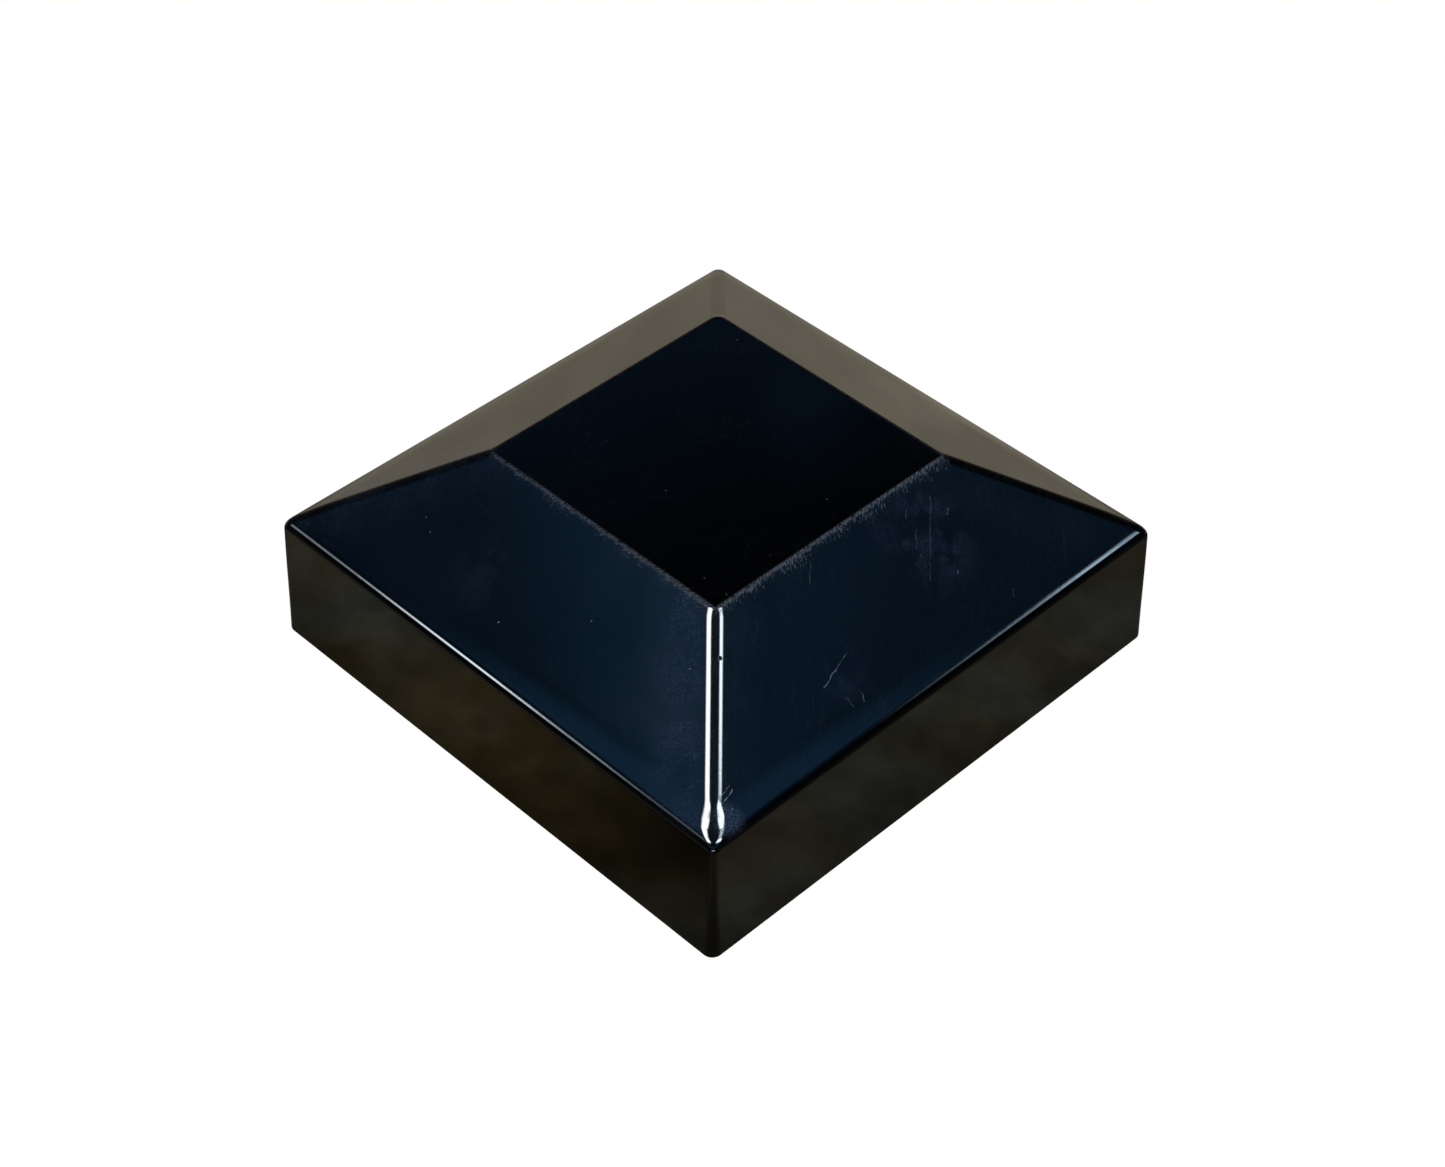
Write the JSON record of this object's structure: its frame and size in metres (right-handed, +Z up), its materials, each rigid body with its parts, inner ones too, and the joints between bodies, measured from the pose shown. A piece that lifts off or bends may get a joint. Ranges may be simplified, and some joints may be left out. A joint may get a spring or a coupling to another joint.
{
  "type": "fence post cap",
  "caption": "Square flat-topped pyramid cap that slips over the end of a square post, held by spring clips inside its skirt.",
  "frame": {"origin": "centre of the skirt's rim, on the plane of the rim", "axes": "+Z up along the post's axis, from the rim to the flat top; X and Y square to the skirt's sides"},
  "size_m": [0.0976, 0.0976, 0.0374],
  "materials": {
    "black_coat": "gloss",
    "zinc_plate": "satin",
    "spring_steel": "polished",
    "screw_steel": "polished",
    "foam_rubber": "matte"
  },
  "bodies": {
    "cap": {"cap_shell": "black_coat", "retainer_frame": "zinc_plate", "seat_gasket": "foam_rubber", "clip_foot_right": "spring_steel", "clip_foot_back": "spring_steel", "clip_foot_left": "spring_steel", "clip_foot_front": "spring_steel", "frame_screw_right": "screw_steel", "frame_screw_back": "screw_steel", "frame_screw_left": "screw_steel", "frame_screw_front": "screw_steel", "lock_washer_right": "screw_steel", "lock_washer_back": "screw_steel", "lock_washer_left": "screw_steel", "lock_washer_front": "screw_steel"},
    "clip_right": {"clip_leg_right": "spring_steel"},
    "clip_back": {"clip_leg_back": "spring_steel"},
    "clip_left": {"clip_leg_left": "spring_steel"},
    "clip_front": {"clip_leg_front": "spring_steel"}
  },
  "joints": [
    {"name": "clip_right_flex", "type": "hinge", "parent": "cap", "child": "clip_right", "pos_m": [0.04385, 0, 0.02125], "axis": [0, -1, 0], "range_deg": [0, 4.4], "stiffness_Nm_per_rad": 6},
    {"name": "clip_back_flex", "type": "hinge", "parent": "cap", "child": "clip_back", "pos_m": [0, 0.04385, 0.02125], "axis": [1, 0, 0], "range_deg": [0, 4.4], "stiffness_Nm_per_rad": 6},
    {"name": "clip_left_flex", "type": "hinge", "parent": "cap", "child": "clip_left", "pos_m": [-0.04385, 0, 0.02125], "axis": [0, 1, 0], "range_deg": [0, 4.4], "stiffness_Nm_per_rad": 6},
    {"name": "clip_front_flex", "type": "hinge", "parent": "cap", "child": "clip_front", "pos_m": [0, -0.04385, 0.02125], "axis": [-1, 0, 0], "range_deg": [0, 4.4], "stiffness_Nm_per_rad": 6}
  ]
}
